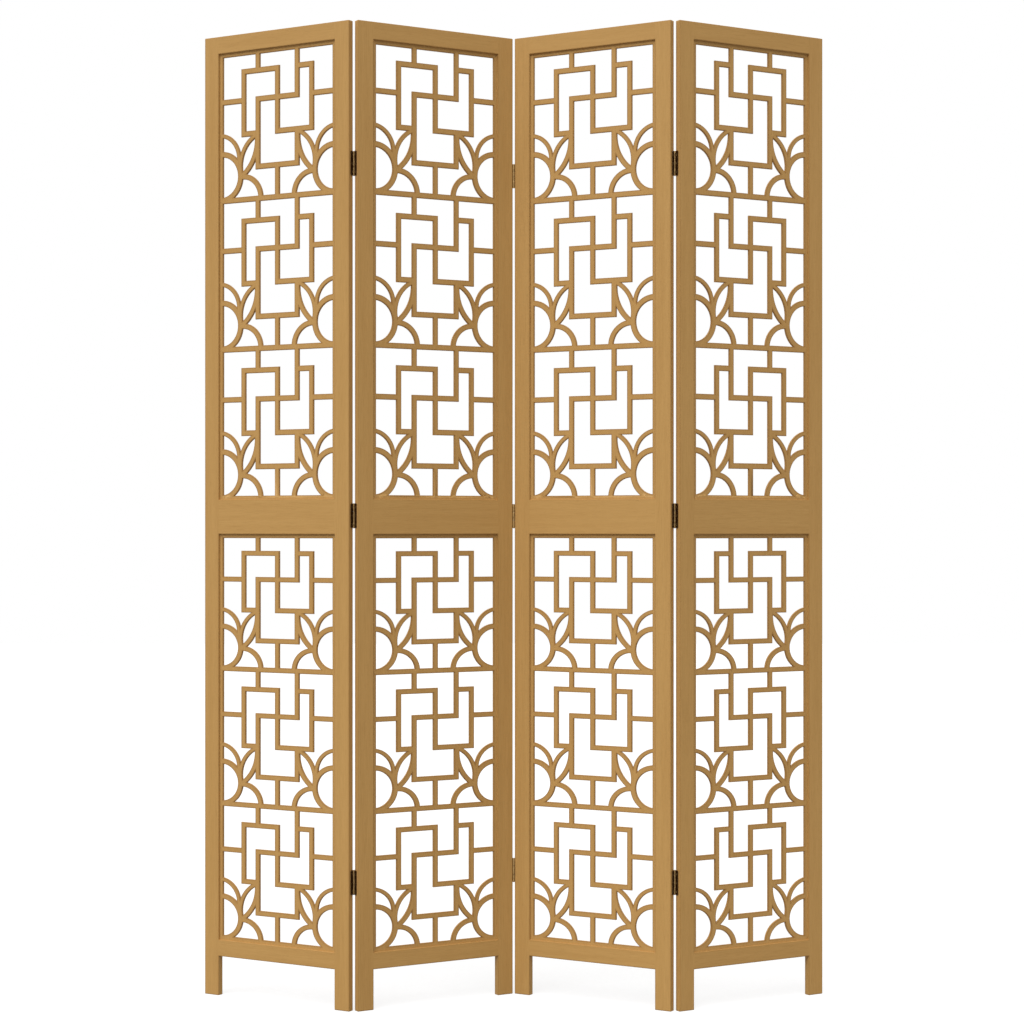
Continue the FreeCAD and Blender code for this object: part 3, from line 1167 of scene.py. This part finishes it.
def bronze_material(name, wear):
    """Dark plating, with the paler metal showing where it is rubbed, and on the knuckles and the
    pin as a painted highlight.
    """
    finish = bpy.context.scene.divider_finish
    material, tree, shader, place = new_material(name)
    cloud = noise(tree, place, 380.0, detail=3.0, roughness=0.6)
    worn_and_highlit = node(
        tree, "ShaderNodeGroup", {"Place": place, "Amount": wear, "Patch Size": 0.004},
        node_tree=worn_edge_and_highlight_group(),
    ).outputs["Worn"]
    pale = maths(tree, "MULTIPLY", ramped(tree, cloud, cloud_levels), finish.clouds)
    base = mixed(tree, pale, opaque(finish.bronze), opaque(finish.pale_bronze_and_highlight))
    fed(tree, shader, {
        "Base Color": mixed(tree, worn_and_highlit, base, opaque(finish.pale_bronze_and_highlight)),
        "Metallic": 0.95,
        "Roughness": ramped(tree, cloud, middle_levels, bronze_roughness),
        "Normal": bumped(tree, noise(tree, place, 1400.0), strength=0.12, depth=0.00005),
    })
    return material


# The stage

def seen_directly(tree):
    """One for a ray from the camera, or by way of a mirror or glass."""
    path = node(tree, "ShaderNodeLightPath").outputs
    direct = maths(tree, "MAXIMUM", path["Is Camera Ray"], path["Is Glossy Ray"])
    return maths(tree, "MAXIMUM", direct, path["Is Transmission Ray"])


def floor_material():
    """A grey floor that glows where it is seen, so it looks white but for the shadows on it."""
    material, tree, shader, place = new_material("floor_paper")
    tone = ramped(tree, noise(tree, place, 2.0), middle_levels)
    greys = [opaque((grey,) * 3) for grey in floor_greys]
    fed(tree, shader, {
        "Base Color": mixed(tree, tone, *greys), "Roughness": 0.9, "Specular IOR Level": 0.0,
    })
    glow = node(
        tree, "ShaderNodeEmission",
        {"Color": white, "Strength": bpy.context.scene.divider_stage.floor_glow},
    ).outputs[0]
    lit = node(tree, "ShaderNodeAddShader", {0: shader.outputs[0], 1: glow}).outputs[0]
    mix = node(
        tree, "ShaderNodeMixShader", {0: seen_directly(tree), 1: shader.outputs[0], 2: lit},
    ).outputs[0]
    fed(tree, tree.nodes["Material Output"], {"Surface": mix})
    return material


class DIVIDER_OT_stage(bpy.types.Operator):
    """Set up the floor, the soft light and the camera"""

    bl_idname = "divider.stage"
    bl_label = "Stage"

    def execute(self, context):
        scene, stage = context.scene, context.scene.divider_stage
        bpy.ops.mesh.primitive_plane_add(size=floor_size)
        floor = context.object
        floor.name = "floor"
        floor.data.materials.append(floor_material())

        world = bpy.data.worlds.new("studio")
        world.use_nodes = True
        tree = world.node_tree
        light = fed(
            tree, tree.nodes["Background"],
            {"Color": opaque(stage.sky_colour), "Strength": stage.sky},
        )
        backdrop = node(tree, "ShaderNodeBackground", {"Color": white, "Strength": 1.0})
        mix = node(
            tree, "ShaderNodeMixShader",
            {0: seen_directly(tree), 1: light.outputs[0], 2: backdrop.outputs[0]},
        ).outputs[0]
        fed(tree, tree.nodes["World Output"], {"Surface": mix})
        scene.world = world

        toward = Vector(sun_from)
        bpy.ops.object.light_add(type="SUN", location=toward * sun_distance)
        sun = context.object
        sun.name = "window_light"
        sun.rotation_euler = toward.to_track_quat("Z", "Y").to_euler()
        sun.data.energy = stage.sun
        sun.data.color = sun_colour
        sun.data.angle = stage.sun_spread

        bpy.ops.object.camera_add(location=stage.eye, rotation=(math.pi / 2, 0, 0))
        camera = context.object
        camera.data.sensor_width = sensor_width
        camera.data.lens = stage.lens
        camera.data.shift_x, camera.data.shift_y = stage.shift
        scene.camera = camera
        scene.view_settings.view_transform = "Standard"
        return {"FINISHED"}


class DIVIDER_PT_tools(bpy.types.Panel):
    """Every step of the screen, with its settings"""

    bl_label = "Fretwork Room Divider"
    bl_idname = "DIVIDER_PT_tools"
    bl_space_type = "VIEW_3D"
    bl_region_type = "UI"
    bl_category = "Divider"

    def draw(self, context):
        for tool in tools:
            self.layout.operator(tool.bl_idname)
        for settings in setting_groups:
            values = getattr(context.scene, settings)
            box = self.layout.box()
            for name in values.bl_rna.properties.keys():
                if name not in ("rna_type", "name"):
                    box.prop(values, name)


setting_groups = {
    "divider_panel": DividerPanelSizes,
    "divider_hinge": DividerHingeSizes,
    "divider_finish": DividerFinish,
    "divider_stage": DividerStage,
}
tools = (DIVIDER_OT_frames, DIVIDER_OT_fretwork, DIVIDER_OT_hinges, DIVIDER_OT_stage)
classes = (*setting_groups.values(), *tools, DIVIDER_PT_tools)


def register():
    """Make the settings, the operators and the panel known."""
    for made in classes:
        bpy.utils.register_class(made)
    for name, settings in setting_groups.items():
        setattr(bpy.types.Scene, name, PointerProperty(type=settings))


def unregister():
    """Take them away again."""
    for name in setting_groups:
        delattr(bpy.types.Scene, name)
    for made in reversed(classes):
        bpy.utils.unregister_class(made)


def main():
    """Build the whole screen and its stage."""
    register()
    bpy.ops.divider.frames()
    bpy.ops.divider.fretwork()
    bpy.ops.divider.hinges()
    bpy.ops.divider.stage()
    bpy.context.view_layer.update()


if __name__ == "__main__":
    main()
